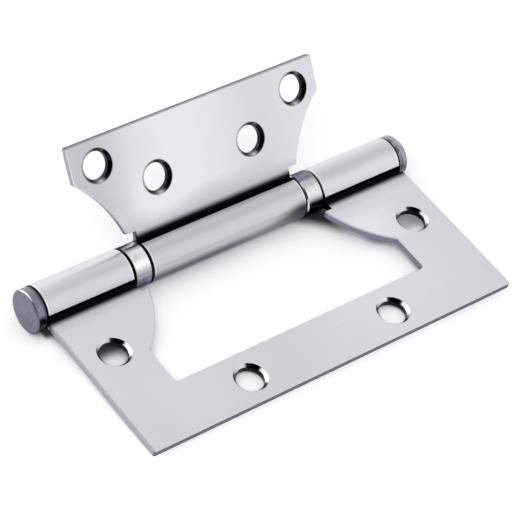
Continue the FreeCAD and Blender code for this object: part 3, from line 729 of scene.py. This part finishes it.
studio = {
    "ambient": 0.70,
    "level": 1.0,  # white walls as the metal sees them
    "dark": 0.02,
    "darkSide": ((-0.53, -0.52, 0.68), (-0.70, -0.60, 0.38), (-0.79, -0.61, 0.06)),  # the open front
    "darkWidth": (28.0, 35.0),
    "panels": (  # towards, where it starts to fade, where it ends, gain in brightness
        ((0.525, 0.784, 0.332), 8.0, 38.0, 0.21),
        ((0.525, -0.671, 0.524), 5.0, 30.0, 0.06),
        ((-0.40, 0.85, 0.30), 12.0, 26.0, 3.0),
        ((0.525, -0.05, 0.85), 6.0, 28.0, -0.2),
    ),
    "lamps": {  # place, side and power of each softbox
        "front_softbox": ((-0.32, -0.24, 0.48), 0.36, 1.05),
        "top_softbox": ((-0.05, 0.08, 0.60), 0.36, 0.4),
    },
}

# The table's frame: its Z is straight up.
tableTurn = Matrix.Rotation(math.radians(-table["tilt"]), 4, "X")
tableToRow = tableTurn @ Matrix.Translation((0, 0, -table["drop"]))


def rowDirection(direction):
    return (tableToRow.to_3x3() @ Vector(direction)).normalized()


def seenRays(shades):
    glossy = shades.node("ShaderNodeLightPath", {}, {}, "Is Glossy Ray")
    through = shades.node("ShaderNodeLightPath", {}, {}, "Is Transmission Ray")
    return glossy.orMore(through)


# How clear of the hinge the paper is, with painted shadows from ambient occlusion and from place: 0 in the
# darkest contact shade, 1 out in the light.
def clearPaper(near, x, y):
    endStep, startMore, endMore = table["contactAtEnds"]
    toEnds = abs(x).step(*endStep)
    clear = near.step(table["contactStart"] + toEnds * startMore, table["contactEnd"] + toEnds * endMore)
    corner = table["corner"]
    first, last = corner["along"]
    inCorner = (x + y).step(*corner["slant"]) * x.step(*first) * x.step(*last)
    clear = clear * (1.0 - inCorner * y.step(*corner["across"]) * corner["gain"])
    ends = table["barrelEnds"]
    low, high = ends["knuckleAcross"]
    fromStart = abs(x).step(*ends["start"])
    underKnuckle = abs(x).step(*ends["knuckleStop"]) * fromStart * y.step(*low) * y.step(*high)
    underCap = abs(x).step(*ends["capStop"]) * fromStart
    underCap = underCap * abs(y - ends["capMiddle"]).step(*ends["capAcross"]) * ends["capShare"]
    clear = clear * (1.0 - underKnuckle.orMore(underCap) * ends["gain"])
    for spot in table["underLeaf"]:
        first, last = spot["along"]
        low, high = spot["across"]
        shaded = x.step(*first) * x.step(*last) * y.step(*low) * y.step(*high)
        clear = clear * (1.0 - shaded * spot["gain"])
    return clear


# Where painted light keeps the paper beside the hinge pale.
def palePaper(x, y):
    alongStep, acrossStep = table["besideEnds"]
    pale = abs(x).step(*alongStep) * y.step(*acrossStep)
    frontStep, frontShare = table["inFront"]
    pale = pale.orMore(y.step(*frontStep) * frontShare)
    alongStep, low, high = table["inWindow"]
    return pale.orMore(abs(x).step(*alongStep) * y.step(*low) * y.step(*high))


def tablePaper():
    material, shades, shader = newSurface("table_paper")
    shader.inputs["Metallic"].default_value = 0.0
    shader.inputs["Roughness"].default_value = table["roughness"]
    shader.inputs["Specular IOR Level"].default_value = 0.0
    shader.inputs["Emission Strength"].default_value = 1.0
    # Painted shadow: the paper darkens with ambient occlusion near the hinge.
    near = shades.node("ShaderNodeAmbientOcclusion", {"samples": table["contactSamples"]},
                       {"Distance": table["contactReach"]}, "AO")
    x, y = splitVector(shades, objectPlace(shades))[:2]
    clear = clearPaper(near, x, y)
    paper = mixColour(shades, near.step(*table["shadeStep"]), table["shadeTone"], table["tone"])
    shades.feed(mixColour(shades, clear, table["contact"], paper), shader.inputs["Base Color"])
    far = (x * x + y * y).math("SQRT").step(*table["farReach"]) * table["farGlow"]
    # Painted light lifts the paper's shade beside the hinge.
    fill = (1.0 - near.step(*table["edgeShade"])) * palePaper(x, y) * table["edgeGlow"]
    seen = seenRays(shades).orMore(shades.node("ShaderNodeLightPath", {}, {}, "Is Camera Ray"))
    glow = seen * (far + table["glow"] + fill) * clear
    shades.feed(mixColour(shades, glow, (0.0, 0.0, 0.0), (1.0, 1.0, 1.0)), shader.inputs["Emission Color"])
    return material


def makeTable():
    half = table["size"] / 2
    square = ((-half, -half), (half, -half), (half, half), (-half, half))
    corners = [tableToRow @ Vector((x, y, 0)) for x, y in square]
    mesh = bpy.data.meshes.new("table_top")
    mesh.from_pydata(corners, [], [(0, 1, 2, 3)])
    mesh.materials.append(tablePaper())
    top = bpy.data.objects.new("table_top", mesh)
    bpy.context.scene.collection.objects.link(top)


# A white room with brighter panels and a dark open front, as the metal sees it.
def makeWorld():
    world = bpy.data.worlds.new("studio")
    bpy.context.scene.world = world
    world.use_nodes = True
    tree = world.node_tree
    tree.nodes.clear()
    background = tree.nodes.new("ShaderNodeBackground")
    output = tree.nodes.new("ShaderNodeOutputWorld")
    tree.links.new(background.outputs[0], output.inputs[0])
    shades = Shade(tree)
    look = shades.node("ShaderNodeTexCoord", {}, {}, "Generated")

    def panel(direction, fullTo, endAt):
        nearness = shades.node("ShaderNodeVectorMath", {"operation": "DOT_PRODUCT"},
                               {0: look, 1: rowDirection(direction)}, "Value")
        return nearness.step(math.cos(math.radians(endAt)), math.cos(math.radians(fullTo)))

    walls = None
    for direction, fullTo, endAt, gain in studio["panels"]:
        part = panel(direction, fullTo, endAt) * gain
        walls = part if walls is None else walls + part
    walls = walls + studio["level"]
    openFront = None
    for direction in studio["darkSide"]:
        part = panel(direction, *studio["darkWidth"])
        openFront = part if openFront is None else openFront.orMore(part)
    walls = walls * (1.0 - openFront * (1.0 - studio["dark"]))
    seen = seenRays(shades)
    eye = shades.node("ShaderNodeLightPath", {}, {}, "Is Camera Ray")
    plain = (1.0 - seen.orMore(eye)) * studio["ambient"]
    shades.feed(walls * seen * (1.0 - eye) + eye + plain, background.inputs["Strength"])
    background.inputs["Color"].default_value = (1.0, 1.0, 1.0, 1.0)


def makeLamp(name, place, side, power):
    data = bpy.data.lights.new(name, "AREA")
    data.size = side
    data.energy = power
    lamp = bpy.data.objects.new(name, data)
    start = tableToRow @ Vector(place)
    aim = tableToRow @ Vector((0, 0, 0))
    facing = (aim - start).to_track_quat("-Z", "Y").to_matrix().to_4x4()
    lamp.matrix_world = Matrix.Translation(start) @ facing
    lamp.visible_glossy = False
    bpy.context.scene.collection.objects.link(lamp)


def makeCamera():
    data = bpy.data.cameras.new("camera")
    data.sensor_width = camera["sensor"]
    data.lens = camera["lens"]
    data.clip_start, data.clip_end = camera["clip"]
    eye = bpy.data.objects.new("camera", data)
    right = Vector(camera["right"])
    up = -Vector(camera["down"])
    back = -Vector(camera["forward"])
    turn = Matrix((right, up, back)).transposed().to_4x4()
    eye.matrix_world = tableToRow @ Matrix.Translation(camera["place"]) @ turn
    bpy.context.scene.collection.objects.link(eye)
    bpy.context.scene.camera = eye


makeTable()
makeWorld()
for lampName, (lampPlace, lampSide, lampPower) in studio["lamps"].items():
    makeLamp(lampName, lampPlace, lampSide, lampPower)
makeCamera()
bpy.context.scene.view_settings.view_transform = "Standard"
print("stage done")
